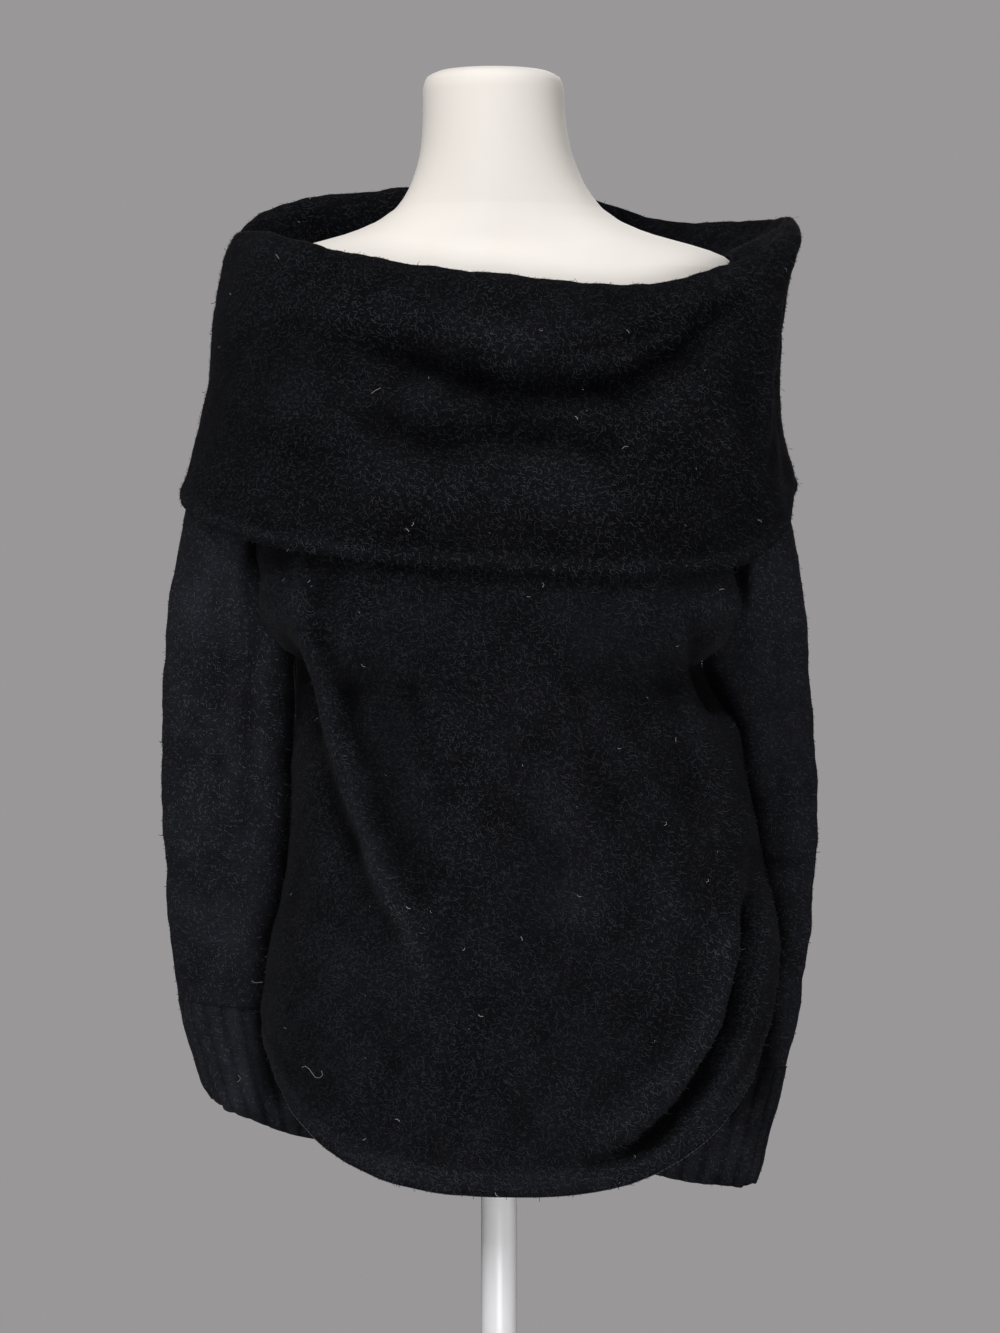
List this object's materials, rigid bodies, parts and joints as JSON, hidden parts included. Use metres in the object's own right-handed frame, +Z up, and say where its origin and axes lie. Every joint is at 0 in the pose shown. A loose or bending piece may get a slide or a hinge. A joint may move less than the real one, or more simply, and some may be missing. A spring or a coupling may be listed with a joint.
{
  "type": "cowl neck sweater on a limbless dress form with a round stand",
  "caption": "Long-sleeved knitted sweater with a wide turned-down cowl off the shoulders, on a dress form with a pole and a round base.",
  "frame": {"origin": "centre of the stand base's underside, on the pole's axis", "axes": "+Z up along the pole, the sweater's front faces -Y, the wearer's left side is at +X"},
  "size_m": [0.5219, 0.3086, 1.496],
  "materials": {
    "knit_body": "black felted wool knit with a raised nap",
    "knit_cowl": "black felted wool knit with a raised nap",
    "knit_sleeve": "black flat rib knit, slightly smoother",
    "knit_cuff": "black ribbed knit",
    "form_cover": "off-white stretched jersey cover",
    "stand": "white satin paint"
  },
  "bodies": {
    "root": {"stand_base": "stand", "stand_pole": "stand", "form_torso": "form_cover", "body_front": "knit_body", "body_back": "knit_body", "sleeve_right": "knit_sleeve", "sleeve_left": "knit_sleeve", "cuff_right": "knit_cuff", "cuff_left": "knit_cuff", "cowl_collar": "knit_cowl"}
  },
  "joints": []
}
